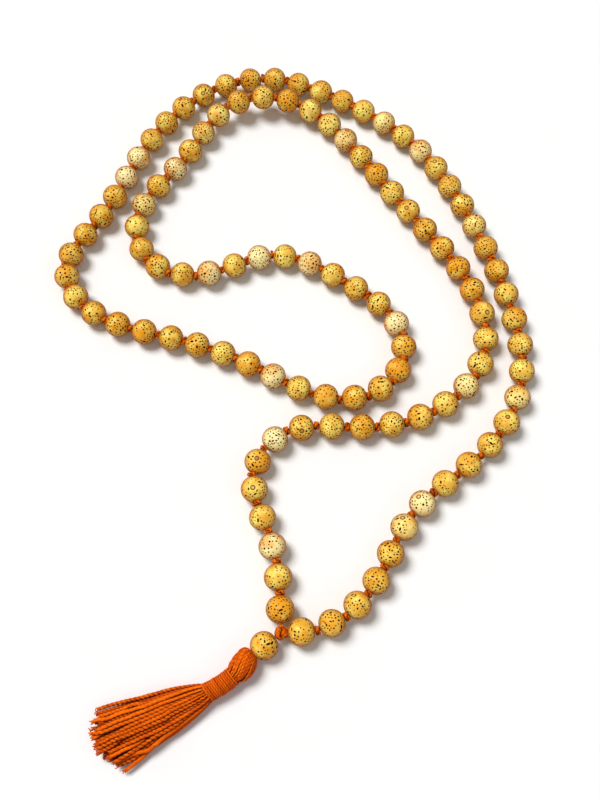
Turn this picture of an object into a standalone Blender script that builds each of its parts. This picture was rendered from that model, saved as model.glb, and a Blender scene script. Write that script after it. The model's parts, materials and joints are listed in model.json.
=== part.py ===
"""Mala prayer beads lying flat: one knotted cord carrying 108 seed beads, a guru bead and a tassel.

The closed strand lies in two laps. Lengths below are in millimetres and are turned into metres
when an object is made. +Z is up, the beads rest on z = 0 and the tassel points towards -Y.
"""
import math

import bmesh
import bpy
import numpy as np

METRES_PER_MM = 0.001

# Beads: ten-sided in section, nominally 8 mm across. Half lengths run along the drilled hole.
BEAD_HALF_WIDTH = 3.9
BEAD_HALF_LENGTH = 3.5
BEAD_CAP_RADIUS = 1.4
BEAD_SHOULDER_HALF_LENGTH = 2.8
BEAD_SHOULDER_RADIUS = 2.95
BEAD_BAND_HALF_LENGTH = 1.1
BEAD_SIDES = 10
BORE_RADIUS = 0.7

# Cord and the knots tied between the beads.
CORD_RADIUS = 0.45
CORD_SIDES = 6
KNOT_RADIUS = 1.7
FLEX_KNOT_RADIUS = 0.55
GAP = 0.3

# The second lap rides up on the first where they meet.
LAP_LIFT = 3.0
LAP_MIDDLE = 78.5
LAP_REACH = 3.5

# Longest bead run that is one solid, in beads.
RUN_LIMIT = 4

# Joint knot of both strand ends, and the guru bead hanging from it.
GURU_KNOT = (-5.3, -94.9)
GURU_KNOT_RADIUS = 1.4
GURU_HEADING = math.radians(216.0)
GURU_DISTANCE = 5.5
GURU_SIDES = 16

# Tassel: distances along its own axis, counted from the knot it hangs on.
TASSEL_KNOT_DISTANCE = 4.6
TASSEL_KNOT_RADIUS = 0.6
TASSEL_HEADING = math.radians(220.0)
TASSEL_MOUTH = 15.2
TASSEL_MOUTH_HEIGHT = 3.2
TASSEL_SIDES = 16
WRAP_START = 6.4
WRAP_RADII = (2.6, 3.1)
WRAP_BORE_RADIUS = 1.9
NECK_RADIUS = 1.6
SKIRT_END = (-51.7, -123.0)
SKIRT_END_HALF_WIDTH = 8.0
SKIRT_END_HALF_HEIGHT = 2.5

# Middle of the whole outline, taken off every position so the object is centred on the origin.
OUTLINE_MIDDLE = (-3.2, -14.45)

# Places the cord passes: number of the knot there, then x and y. Knots are spread evenly between.
CORD_PLACES = (
    (0, -3.9, -95.0), (1, 4.8, -94.0), (3, 19, -84), (6, 32, -61), (9, 53, -43),
    (12, 67, -20), (15, 66, 7), (19, 55, 41), (23, 38, 70), (27, 11, 90),
    (30, -13, 98), (33, -37, 88), (37, -56, 60), (40, -67, 37), (42, -75, 22),
    (44, -68, 7), (47, -44, -3), (51, -12, -15), (54, 12, -25), (56, 28, -19),
    (58, 32, -3), (61, 14, 16), (64, -9, 26), (67, -33, 18), (69, -49, 24),
    (71, -53, 41), (74, -39, 63), (77, -25, 84), (80, 0, 85), (83, 18, 68),
    (87, 38, 39), (91, 56, 9), (93, 57, -9), (96, 40, -29), (99, 14, -34),
    (101, -4, -35), (103, -14, -49), (105, -9, -66), (108, -5.2, -92.8),
)

# Stiff stretches of the folded strand: body, first bead and last bead of each strand in it.
STRETCHES = (
    ("coil_top", (20, 38), (73, 87)),
    ("right_1", (16, 19), (88, 91)),
    ("right_2", (10, 15), (92, 102)),
    ("right_3", (6, 9), (103, 105)),
    ("right_4", (1, 5), (106, 108)),
    ("left_1", (39, 49), (67, 72)),
    ("left_2", (50, 53), (63, 66)),
    ("left_tip", (54, 62)),
)

# Bodies whose own hinge is at these two knots, one on each strand.
CREASES = {
    "right_1": (19, 87),
    "right_2": (15, 91),
    "right_3": (9, 102),
    "right_4": (5, 105),
    "left_1": (38, 72),
    "left_2": (49, 66),
    "left_tip": (53, 62),
}

UP = np.array((0.0, 0.0, 1.0))


def unit(vector):
    """The vector at length one."""
    return vector / np.linalg.norm(vector)


def heading_vector(angle):
    """Level direction at this angle from +X."""
    return np.array((math.cos(angle), math.sin(angle), 0.0))


def level_point(place, height):
    """A place given as x and y, at this height and measured from the middle of the outline."""
    return np.array((place[0] - OUTLINE_MIDDLE[0], place[1] - OUTLINE_MIDDLE[1], height))


def spline_pieces(times, points):
    """Second derivatives of the natural cubic spline through the points."""
    count = len(times)
    steps = np.diff(times)
    matrix = np.eye(count)
    right = np.zeros((count, points.shape[1]))
    for i in range(1, count - 1):
        matrix[i, i - 1] = steps[i - 1]
        matrix[i, i] = 2.0 * (steps[i - 1] + steps[i])
        matrix[i, i + 1] = steps[i]
        rise_after = (points[i + 1] - points[i]) / steps[i]
        rise_before = (points[i] - points[i - 1]) / steps[i - 1]
        right[i] = 6.0 * (rise_after - rise_before)
    return np.linalg.solve(matrix, right)


def spline_stretch(times, points, bends, index, samples):
    """Points of the spline from one cord place to the next, both ends included."""
    step = times[index + 1] - times[index]
    after = np.linspace(0.0, 1.0, samples + 1)[:, None]
    before = 1.0 - after
    straight = before * points[index] + after * points[index + 1]
    bend_before = (before ** 3 - before) * bends[index]
    bend_after = (after ** 3 - after) * bends[index + 1]
    return straight + (bend_before + bend_after) * step * step / 6.0


def lap_height(number):
    """How far the cord is raised at this knot number, where one lap crosses the other."""
    share = (number - LAP_MIDDLE) / LAP_REACH
    if abs(share) >= 1.0:
        return 0.0
    return LAP_LIFT * math.cos(share * math.pi / 2.0) ** 2


def knot_places():
    """Centre of every knot from 0 to 108, with even spacing between the listed cord places."""
    numbers = [place[0] for place in CORD_PLACES]
    points = np.array([place[1:] for place in CORD_PLACES]) - OUTLINE_MIDDLE
    lengths = np.linalg.norm(np.diff(points, axis=0), axis=1)
    times = np.concatenate(((0.0,), np.cumsum(lengths)))
    bends = spline_pieces(times, points)
    knots = np.zeros((numbers[-1] + 1, 3))
    samples = 80
    for index in range(len(numbers) - 1):
        path = spline_stretch(times, points, bends, index, samples)
        along = np.linalg.norm(np.diff(path, axis=0), axis=1)
        travelled = np.concatenate(((0.0,), np.cumsum(along)))
        spans = numbers[index + 1] - numbers[index]
        for step in range(spans + 1):
            target = travelled[-1] * step / spans
            number = numbers[index] + step
            knots[number, 0] = np.interp(target, travelled, path[:, 0])
            knots[number, 1] = np.interp(target, travelled, path[:, 1])
    for number in range(len(knots)):
        knots[number, 2] = BEAD_HALF_WIDTH + lap_height(number)
    return knots


KNOTS = knot_places()
PIVOT_G = level_point(GURU_KNOT, BEAD_HALF_WIDTH)
GURU_AXIS = heading_vector(GURU_HEADING)
GURU_CENTRE = PIVOT_G + GURU_AXIS * GURU_DISTANCE
PIVOT_T = GURU_CENTRE + GURU_AXIS * TASSEL_KNOT_DISTANCE
TASSEL_DROP = (TASSEL_MOUTH_HEIGHT - BEAD_HALF_WIDTH) / TASSEL_MOUTH
TASSEL_AXIS = unit(heading_vector(TASSEL_HEADING) + UP * TASSEL_DROP)
MOUTH = PIVOT_T + TASSEL_AXIS * TASSEL_MOUTH


def bead_centre(bead):
    """Middle of a bead, half way between the knots on both sides of it."""
    return (KNOTS[bead - 1] + KNOTS[bead]) / 2.0


def bead_axis(bead):
    """Direction of a bead's hole."""
    return unit(KNOTS[bead] - KNOTS[bead - 1])


def knot_axis(number):
    """Direction of the cord through a knot, shared between the beads on both sides."""
    before = max(number, 1)
    after = min(number + 1, len(KNOTS) - 1)
    return unit(bead_axis(before) + bead_axis(after))


def ring(centre, axis, radius, sides, squash=1.0):
    """Corners of a regular polygon round the axis, turned so that one flat side faces down."""
    side = unit(np.cross(axis, UP))
    top = np.cross(side, axis)
    corners = []
    for k in range(sides):
        angle = 2.0 * math.pi * (k + 0.5) / sides
        corner = side * (math.sin(angle) * radius)
        corner = corner + top * (math.cos(angle) * radius * squash)
        corners.append(centre + corner)
    return corners


def mesh_object(name, rings, bore_rings, origin, material):
    """One closed object: rings joined in order, closed by caps or by an inner wall of bore rings."""
    sides = len(rings[0])
    mesh = bmesh.new()
    outer = [[mesh.verts.new((p - origin) * METRES_PER_MM) for p in loop] for loop in rings]
    inner = [[mesh.verts.new((p - origin) * METRES_PER_MM) for p in loop] for loop in bore_rings]
    bands = list(zip(outer, outer[1:])) + list(zip(inner, inner[1:]))
    ends = []
    if inner:
        ends = [(outer[0], inner[0]), (outer[-1], inner[-1])]
    for pairs, smooth in ((bands, True), (ends, False)):
        for first, second in pairs:
            for k in range(sides):
                after = (k + 1) % sides
                face = mesh.faces.new((first[k], first[after], second[after], second[k]))
                face.smooth = smooth
    if not inner:
        mesh.faces.new(outer[0])
        mesh.faces.new(outer[-1])
    bmesh.ops.recalc_face_normals(mesh, faces=mesh.faces)
    data = bpy.data.meshes.new(name)
    mesh.to_mesh(data)
    mesh.free()
    data.materials.append(material)
    item = bpy.data.objects.new(name, data)
    item.location = [float(value) * METRES_PER_MM for value in origin]
    bpy.context.scene.collection.objects.link(item)
    return item


def plain_material(name, colour, roughness):
    """Principled material of one colour."""
    material = bpy.data.materials.new(name)
    material.use_nodes = True
    shader = material.node_tree.nodes["Principled BSDF"]
    shader.inputs["Base Color"].default_value = (*colour, 1.0)
    shader.inputs["Roughness"].default_value = roughness
    return material


def bead_rings(centre, axis, sides):
    """Six rings of one bead: cap, shoulder, band, band, shoulder, cap."""
    band_radius = BEAD_HALF_WIDTH / math.cos(math.pi / sides)
    profile = (
        (-BEAD_HALF_LENGTH, BEAD_CAP_RADIUS),
        (-BEAD_SHOULDER_HALF_LENGTH, BEAD_SHOULDER_RADIUS),
        (-BEAD_BAND_HALF_LENGTH, band_radius),
        (BEAD_BAND_HALF_LENGTH, band_radius),
        (BEAD_SHOULDER_HALF_LENGTH, BEAD_SHOULDER_RADIUS),
        (BEAD_HALF_LENGTH, BEAD_CAP_RADIUS),
    )
    return [ring(centre + axis * along, axis, radius, sides) for along, radius in profile]


def bead_run(first, last, ends_in_knot, origin, material):
    """Neighbouring beads with the knots between them, drilled from end to end for the cord."""
    start_axis = bead_axis(first)
    start = bead_centre(first) - start_axis * BEAD_HALF_LENGTH
    rings = []
    bore = [ring(start, start_axis, BORE_RADIUS, BEAD_SIDES)]
    for bead in range(first, last + 1):
        rings += bead_rings(bead_centre(bead), bead_axis(bead), BEAD_SIDES)
        if bead < last:
            rings.append(ring(KNOTS[bead], knot_axis(bead), KNOT_RADIUS, BEAD_SIDES))
            bore.append(ring(KNOTS[bead], knot_axis(bead), BORE_RADIUS, BEAD_SIDES))
    end = bead_centre(last) + bead_axis(last) * BEAD_HALF_LENGTH
    end_axis = bead_axis(last)
    if ends_in_knot:
        end = KNOTS[last]
        end_axis = knot_axis(last)
        rings.append(ring(end, end_axis, KNOT_RADIUS, BEAD_SIDES))
    bore.append(ring(end, end_axis, BORE_RADIUS, BEAD_SIDES))
    return mesh_object(f"beads_{first:03d}_{last:03d}", rings, bore, origin, material)


def flex_knot_rings(centre, axis):
    """Small round end of a cord, centred on the knot that a hinge turns about."""
    waist = FLEX_KNOT_RADIUS * 0.95
    profile = ((-0.45, CORD_RADIUS), (-0.18, waist), (0.18, waist), (0.45, 0.3))
    return [ring(centre + axis * along, axis, radius, CORD_SIDES) for along, radius in profile]


def cord_core(first, last, start_holds_knot, end_holds_knot, origin, material):
    """Cord through the holes of one strand stretch, with the hinge knots it carries at its ends."""
    inset = GAP + FLEX_KNOT_RADIUS + 0.1
    rings = []
    if first == 1:
        start = PIVOT_G + unit(bead_centre(1) - PIVOT_G) * (GURU_KNOT_RADIUS + GAP)
        rings.append(ring(start, bead_axis(1), CORD_RADIUS, CORD_SIDES))
    elif start_holds_knot:
        backwards = flex_knot_rings(KNOTS[first - 1], -bead_axis(first))
        rings += mirrored(backwards)
    else:
        start = KNOTS[first - 1] + bead_axis(first) * inset
        rings.append(ring(start, bead_axis(first), CORD_RADIUS, CORD_SIDES))
    for number in range(first, last):
        rings.append(ring(KNOTS[number], knot_axis(number), CORD_RADIUS, CORD_SIDES))
    if last == len(KNOTS) - 1:
        end = PIVOT_G + unit(bead_centre(last) - PIVOT_G) * (GURU_KNOT_RADIUS + GAP)
        rings.append(ring(end, bead_axis(last), CORD_RADIUS, CORD_SIDES))
    elif end_holds_knot:
        rings += flex_knot_rings(KNOTS[last], bead_axis(last))
    else:
        end = KNOTS[last] - bead_axis(last) * inset
        rings.append(ring(end, bead_axis(last), CORD_RADIUS, CORD_SIDES))
    return mesh_object(f"cord_{first:03d}_{last:03d}", rings, (), origin, material)


def mirrored(rings):
    """The same rings in the other order, each wound the other way so they join without a twist."""
    return [list(reversed(loop)) for loop in reversed(rings)]


def run_ends(first, last):
    """First and last bead of each run when a stretch is shared out evenly."""
    beads = last - first + 1
    runs = math.ceil(beads / RUN_LIMIT)
    ends = []
    start = first
    for index in range(runs):
        size = beads // runs + (1 if index < beads % runs else 0)
        ends.append((start, start + size - 1))
        start += size
    return ends


def build_strand(bead_material, cord_material):
    """Every bead run and cord stretch of the closed strand."""
    crease_knots = {}
    for body, pair in CREASES.items():
        for number in pair:
            crease_knots[number] = body
    for body, *strands in STRETCHES:
        origin = np.zeros(3)
        if body in CREASES:
            origin = KNOTS[CREASES[body][0]]
        for first, last in strands:
            for start, end in run_ends(first, last):
                bead_run(start, end, end != last, origin, bead_material)
            start_holds = crease_knots.get(first - 1, body) != body
            end_holds = crease_knots.get(last, body) != body
            cord_core(first, last, start_holds, end_holds, origin, cord_material)


def ball_rings(centre, axis, radius, bands, sides):
    """Rings of a ball with small flats at its two ends."""
    rings = []
    for k in range(bands):
        angle = math.pi * (k + 0.5) / bands
        at = centre - axis * (radius * math.cos(angle))
        rings.append(ring(at, axis, radius * math.sin(angle), sides))
    return rings


def build_guru(bead_material, knot_material, cord_material):
    """Joint knot, cord and guru bead."""
    knot = ball_rings(PIVOT_G, GURU_AXIS, GURU_KNOT_RADIUS, 6, 10)
    mesh_object("guru_knot", knot, (), PIVOT_G, knot_material)
    start = PIVOT_G + GURU_AXIS * (GURU_KNOT_RADIUS + GAP)
    end = PIVOT_T - GURU_AXIS * (TASSEL_KNOT_RADIUS + GAP)
    cord = [ring(at, GURU_AXIS, CORD_RADIUS, CORD_SIDES) for at in (start, end)]
    mesh_object("guru_cord", cord, (), PIVOT_G, cord_material)
    rings = bead_rings(GURU_CENTRE, GURU_AXIS, GURU_SIDES)
    ends = (-BEAD_HALF_LENGTH, BEAD_HALF_LENGTH)
    bore = [ring(GURU_CENTRE + GURU_AXIS * a, GURU_AXIS, BORE_RADIUS, GURU_SIDES) for a in ends]
    mesh_object("guru_bead", rings, bore, GURU_CENTRE, bead_material)


def along_tassel(profile, sides=TASSEL_SIDES):
    """Rings at distances and radii along the tassel's axis."""
    return [ring(PIVOT_T + TASSEL_AXIS * a, TASSEL_AXIS, r, sides) for a, r in profile]


def skirt_rings():
    """Flattened, widening bundle that bends away from the wrap's mouth and lies on the surface."""
    end = level_point(SKIRT_END, SKIRT_END_HALF_HEIGHT)
    guide = MOUTH + TASSEL_AXIS * 8.0
    guide[2] = (MOUTH[2] + end[2]) / 2.0
    root = ((0.7, 1.0), (1.0, 2.0))
    rings = [ring(MOUTH + TASSEL_AXIS * a, TASSEL_AXIS, r, TASSEL_SIDES) for a, r in root]
    for share in (0.06, 0.2, 0.4, 0.6, 0.8, 1.0):
        centre = (1 - share) ** 2 * MOUTH + 2 * share * (1 - share) * guide + share ** 2 * end
        axis = unit((1 - share) * (guide - MOUTH) + share * (end - guide))
        half_width = 2.9 + (SKIRT_END_HALF_WIDTH - 2.9) * share
        half_height = 2.9 + (SKIRT_END_HALF_HEIGHT - 2.9) * share
        rings.append(ring(centre, axis, half_width, TASSEL_SIDES, half_height / half_width))
    return rings


def build_tassel(knot_material):
    """Hanging knot, gathered head with its neck, wrapped collar and skirt."""
    head_yarn = plain_material("head_yarn", (0.55, 0.15, 0.03), 0.85)
    wrap_yarn = plain_material("wrap_yarn", (0.5, 0.13, 0.03), 0.85)
    skirt_yarn = plain_material("skirt_yarn", (0.62, 0.18, 0.04), 0.85)
    knot = ball_rings(PIVOT_T, GURU_AXIS, TASSEL_KNOT_RADIUS, 4, 8)
    mesh_object("tassel_knot", knot, (), PIVOT_T, knot_material)
    head_end = TASSEL_MOUTH - GAP
    head = (
        (0.9, 0.8), (1.6, 2.1), (2.7, 3.0), (4.0, 3.3), (5.2, 2.9),
        (6.0, NECK_RADIUS), (head_end, NECK_RADIUS),
    )
    mesh_object("tassel_head", along_tassel(head), (), PIVOT_T, head_yarn)
    wrap = ((WRAP_START, WRAP_RADII[0]), (TASSEL_MOUTH, WRAP_RADII[1]))
    bore = ((WRAP_START, WRAP_BORE_RADIUS), (TASSEL_MOUTH, WRAP_BORE_RADIUS))
    mesh_object("tassel_wrap", along_tassel(wrap), along_tassel(bore), PIVOT_T, wrap_yarn)
    mesh_object("tassel_skirt", skirt_rings(), (), MOUTH, skirt_yarn)


def main():
    """Clear the scene and build every piece."""
    for item in list(bpy.data.objects):
        bpy.data.objects.remove(item, do_unlink=True)
    seed = plain_material("seed", (0.62, 0.42, 0.16), 0.35)
    guru_seed = plain_material("guru_seed", (0.6, 0.38, 0.13), 0.35)
    cord = plain_material("cord", (0.5, 0.14, 0.03), 0.8)
    joint_knot = plain_material("joint_knot", (0.55, 0.16, 0.03), 0.8)
    build_strand(seed, cord)
    build_guru(guru_seed, joint_knot, cord)
    build_tassel(joint_knot)


main()
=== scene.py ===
"""Mala prayer beads: the detailed look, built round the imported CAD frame.

Shapes are worked out in millimetres and stored in metres. The places of beads, knots and tassel
come from the frame's own nodes and joints.
"""

import json
import math

import bmesh
import bpy
import numpy as np
from mathutils import Matrix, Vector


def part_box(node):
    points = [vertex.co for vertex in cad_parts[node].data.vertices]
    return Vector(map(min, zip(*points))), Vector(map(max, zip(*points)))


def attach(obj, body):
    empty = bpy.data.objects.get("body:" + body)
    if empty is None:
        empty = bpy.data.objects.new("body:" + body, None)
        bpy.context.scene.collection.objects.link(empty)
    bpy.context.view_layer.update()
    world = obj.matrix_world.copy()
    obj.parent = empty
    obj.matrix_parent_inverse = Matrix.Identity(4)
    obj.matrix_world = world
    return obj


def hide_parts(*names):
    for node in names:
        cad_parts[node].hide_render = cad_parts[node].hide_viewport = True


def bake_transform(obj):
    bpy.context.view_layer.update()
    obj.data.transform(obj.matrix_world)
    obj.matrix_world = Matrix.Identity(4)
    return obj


METRES_PER_MM = 0.001
UP = np.array((0.0, 0.0, 1.0))

# Seed beads, in millimetres.
BEAD_RADIUS = 3.95
HOLE_RADIUS = 0.62
ICOSPHERE_STEPS = 6
EYE_RADIUS = 0.66
EYE_GROOVE_DEPTH = 0.1
EYE_DISH_DEPTH = 0.06
PIT_RADII = (0.18, 0.22, 0.27, 0.33)
PIT_SHARES = (0.24, 0.38, 0.26, 0.12)

# Share of a bead's size, and number of pits: lowest and highest.
BEAD_SIZES = (0.985, 1.015)
PIT_COUNTS = (120, 180)

# Distance between pits as a share of both radii together, and depth as a share of the radius.
PIT_SPACING = 1.5
PIT_DEPTH = 1.1

# A bead is a little shorter along its hole, and dips in round the hole's mouth.
LENGTH_SHARE = 0.98
MOUTH_DIP = 0.035
MOUTH_DIP_RADIUS = 1.3

# Beads whose single round eye faces up, and how far it leans along the strand and across it.
EYES_UP = {
    6: (0.35, 0.45), 7: (-0.1, 0.5), 11: (0.0, 0.1), 20: (0.2, -0.3),
    22: (0.1, 0.2), 33: (0.3, 0.5), 83: (-0.2, 0.3), 87: (0.1, -0.4),
    92: (0.5, 0.2), 101: (0.1, 0.7), 103: (0.1, 0.0), 104: (0.2, -0.1),
}

# Cord and knots, in millimetres.
CORD_RADIUS = 0.45
CORD_TWIST = 3.0
KNOT_CORD_RADIUS = 0.66
KNOT_CORD_TWIST = 2.6
KNOT_RADIUS = 1.52
KNOT_HALF_THICKNESS = 0.36
HINGE_KNOT_RADIUS = 1.3
GURU_KNOT_CORD_RADIUS = 0.78
GURU_CORD_RADIUS = 0.3
GURU_CORD_OFFSET = 0.22
HANGING_KNOT_RADIUS = 0.95
HANGING_CORD_RADIUS = 0.35
FLOOR_HEIGHT = -0.15

# Tassel, in millimetres; distances run from the hanging knot along the tassel's axis.
HEAD_PROFILE = (
    (-0.45, 0.75), (-0.85, 1.25), (-0.7, 1.9), (0.1, 2.65), (1.4, 3.05),
    (3.4, 3.2), (5.2, 2.85), (6.7, 2.1), (8.2, 1.9),
)
HEAD_YARNS = 38
HEAD_YARN_TWIST = 2.6
HEAD_SWIRL = 0.75
HEAD_BOW = 1.15
COLLAR_START = 7.0
COLLAR_TURNS = 13
COLLAR_RADII = (2.4, 2.5)
COLLAR_SLANT = 0.25
COLLAR_YARN_RADIUS = 0.34
COLLAR_YARN_TWIST = 2.4
YARN_SIDES = 12
YARN_RADIUS = 0.56
SKIRT_YARNS = 50
SKIRT_PIECES = 5
SKIRT_SECTIONS = 21
SKIRT_HALF_HEIGHT = 1.9
MOUTH_YARN_RADIUS = 0.34

# The cut line of the skirt: rounded on its upper side, slanting on its lower side, and ragged.
CUT_ROUNDNESS = 0.035
CUT_SLANT = 0.32
CUT_RAGGEDNESS = (-1.8, 0.8)

# How far the lowest yarn strays, and how far the highest ones stand apart from the rest.
STRAY_REACH = 1.6
UPPER_GAP = 1.2

# First numbers of the random draws.
BEAD_SHAPES = 1000
BEAD_TINTS = 5000
CORD_DRAWS = 300
HEAD_DRAWS = 77
COLLAR_DRAWS = 91
SKIRT_DRAWS = 123

# Stage: floor and camera in metres, the rest in Blender's own units.
FLOOR_HALF_SIDE = 2.0
SKY_LIGHT = 0.32
SKY_SEEN = 0.93
CAMERA_PLACE = (0.0032, -0.13555, 0.2844)
CAMERA_TILT = 24.0
CAMERA_LENS = 45.95
CAMERA_SENSOR = 36.0

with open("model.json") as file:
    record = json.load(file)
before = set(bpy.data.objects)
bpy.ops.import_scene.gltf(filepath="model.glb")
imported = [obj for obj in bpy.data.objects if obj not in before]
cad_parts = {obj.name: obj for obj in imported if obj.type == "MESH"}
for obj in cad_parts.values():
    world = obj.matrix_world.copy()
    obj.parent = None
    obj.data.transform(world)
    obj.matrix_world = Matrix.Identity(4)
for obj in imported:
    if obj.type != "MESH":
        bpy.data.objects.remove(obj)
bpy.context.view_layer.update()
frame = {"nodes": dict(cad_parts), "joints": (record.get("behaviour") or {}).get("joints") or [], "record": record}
bodies_of_nodes = frame["record"]["behaviour"]["bodies"]
joints = {joint["name"]: joint for joint in frame["joints"]}


def unit(vector):
    """The vector at length one."""
    return vector / np.linalg.norm(vector)


def smooth_step(low, high, value):
    """0 below low, 1 above high, with a soft turn between them."""
    share = np.clip((value - low) / (high - low), 0.0, 1.0)
    return share * share * (3.0 - 2.0 * share)


# ---------------------------------------------------------------- places taken from the frame

def node_points(name):
    """Different corners of a CAD node, in millimetres."""
    vertices = frame["nodes"][name].data.vertices
    points = np.zeros(len(vertices) * 3)
    vertices.foreach_get("co", points)
    points = points.reshape(-1, 3) / METRES_PER_MM
    return np.unique(np.round(points, 3), axis=0)


def box_centre(name):
    """Middle of a CAD node's box, in millimetres."""
    low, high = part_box(name)
    return np.array((low + high) / 2) / METRES_PER_MM


def joint_place(name):
    """Pivot and axis of a joint, in millimetres."""
    joint = joints[name]
    return np.array(joint["pos_m"]) / METRES_PER_MM, unit(np.array(joint["axis"], dtype=float))


def numbered_nodes(prefix):
    """First bead, last bead, body and node name of every node of one kind, in bead order."""
    found = []
    for body, nodes in bodies_of_nodes.items():
        for node in nodes:
            if node.startswith(prefix):
                first, last = node[len(prefix):].split("_")
                found.append((int(first), int(last), body, node))
    return sorted(found)


def cord_stations(name, anchor):
    """Ring centres of a cord node in order, starting at the end nearer the anchor, with ring sizes."""
    remaining = node_points(name)
    groups = []
    while len(remaining):
        near = np.linalg.norm(remaining - remaining[0], axis=1) < 3.0
        groups.append((remaining[near].mean(axis=0), int(near.sum())))
        remaining = remaining[~near]
    reach = []
    for centre, _ in groups:
        others = sorted(np.linalg.norm(centre - other) for other, _ in groups)
        reach.append(others[2] if len(others) > 2 else 0.0)
    ends = sorted(range(len(groups)), key=lambda k: -reach[k])[:2]
    start = min(ends, key=lambda k: np.linalg.norm(groups[k][0] - anchor))
    chain = [groups.pop(start)]
    while groups:
        nearest = min(range(len(groups)), key=lambda k: np.linalg.norm(groups[k][0] - chain[-1][0]))
        chain.append(groups.pop(nearest))
    return chain


# A CAD cord ends in one plain ring, or in a knot with more corners than that.
PLAIN_END_CORNERS = 12

RUNS = numbered_nodes("beads_")
CORDS = numbered_nodes("cord_")
LAST_BEAD = RUNS[-1][1]
RUN_OF_BEAD = {}
for run in RUNS:
    for bead in range(run[0], run[1] + 1):
        RUN_OF_BEAD[bead] = run


def knot_places():
    """Centre of every knot, read back from the cord nodes."""
    guru = box_centre("guru_knot")
    knots = {}
    for first, last, _, name in CORDS:
        anchor = guru if first == 1 else box_centre(RUN_OF_BEAD[first - 1][3])
        chain = cord_stations(name, anchor)
        for step, (centre, corners) in enumerate(chain):
            number = first - 1 + step
            inner = 0 < step < len(chain) - 1
            if inner or corners > PLAIN_END_CORNERS or number in (0, LAST_BEAD):
                knots[number] = centre
    for number, inside in ((0, 1), (LAST_BEAD, -1)):
        near = knots[number + inside]
        step = np.linalg.norm(knots[number + 2 * inside] - near)
        knots[number] = near + unit(knots[number] - near) * step
    return np.array([knots[number] for number in range(LAST_BEAD + 1)])


KNOTS = knot_places()
GURU_KNOT, _ = joint_place("guru_swing")
GURU_CENTRE, GURU_AXIS = joint_place("guru_spin")
TASSEL_KNOT, _ = joint_place("tassel_swing")
MOUTH, _ = joint_place("skirt_bend")
TASSEL_AXIS = unit(MOUTH - TASSEL_KNOT)
TASSEL_MOUTH = float(np.linalg.norm(MOUTH - TASSEL_KNOT))


def strand_frame(axis):
    """Level sideways direction and the direction nearest to up, both square to the axis."""
    side = unit(np.cross(axis, UP))
    return side, np.cross(side, axis)


# ---------------------------------------------------------------- meshes

def mesh_from(name, points, faces, material, attributes=None):
    """A smooth mesh object from points in millimetres."""
    data = bpy.data.meshes.new(name)
    data.from_pydata((np.asarray(points) * METRES_PER_MM).tolist(), [], faces)
    data.polygons.foreach_set("use_smooth", [True] * len(data.polygons))
    for key, values in (attributes or {}).items():
        layer = data.attributes.new(key, "FLOAT", "POINT")
        layer.data.foreach_set("value", np.asarray(values, dtype=np.float32))
    data.materials.append(material)
    data.validate()
    item = bpy.data.objects.new(name, data)
    bpy.context.scene.collection.objects.link(item)
    return item


def carried(item, body, slot, *nodes):
    """Puts a finished piece on its body, in place of these CAD nodes."""
    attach(item, body)
    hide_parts(*nodes)
    return item


def path_frames(path):
    """Tangent and two sideways directions along a path, turning as little as possible."""
    tangents = np.gradient(path, axis=0)
    tangents /= np.linalg.norm(tangents, axis=1)[:, None]
    helper = UP if abs(tangents[0, 2]) < 0.9 else np.array((1.0, 0.0, 0.0))
    side = unit(np.cross(tangents[0], helper))
    sides = [side]
    for tangent in tangents[1:]:
        side = unit(side - tangent * side.dot(tangent))
        sides.append(side)
    sides = np.array(sides)
    return tangents, sides, np.cross(tangents, sides)


def path_lengths(path):
    """Distance travelled at each point of a path."""
    steps = np.linalg.norm(np.diff(path, axis=0), axis=1)
    return np.concatenate(((0.0,), np.cumsum(steps)))


def even_path(path, spacing):
    """The same path with points this far apart."""
    travelled = path_lengths(path)
    count = max(int(round(travelled[-1] / spacing)), 2)
    wanted = np.linspace(0.0, travelled[-1], count + 1)
    return np.stack([np.interp(wanted, travelled, path[:, k]) for k in range(3)], axis=1)


def rounded_path(points, spacing):
    """A soft curve through a few points (centripetal Catmull-Rom), evenly spaced."""
    points = np.asarray(points, dtype=float)
    padded = np.vstack((2 * points[0] - points[1], points, 2 * points[-1] - points[-2]))
    pieces = []
    for k in range(1, len(padded) - 2):
        p0, p1, p2, p3 = padded[k - 1:k + 3]
        t = np.linspace(0.0, 1.0, 24, endpoint=False)[:, None]
        curve = 0.5 * (2 * p1 + (p2 - p0) * t + (2 * p0 - 5 * p1 + 4 * p2 - p3) * t ** 2
                       + (3 * p1 - p0 - 3 * p2 + p3) * t ** 3)
        pieces.append(curve)
    pieces.append(padded[-2][None])
    return even_path(np.vstack(pieces), spacing)


def tube_faces(rings, sides):
    """Faces joining rings of points into a closed tube."""
    faces = []
    for i in range(rings - 1):
        for k in range(sides):
            after = (k + 1) % sides
            low, high = i * sides, (i + 1) * sides
            faces.append((low + k, low + after, high + after, high + k))
    faces.append(tuple(range(sides - 1, -1, -1)))
    faces.append(tuple(range((rings - 1) * sides, rings * sides)))
    return faces


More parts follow.
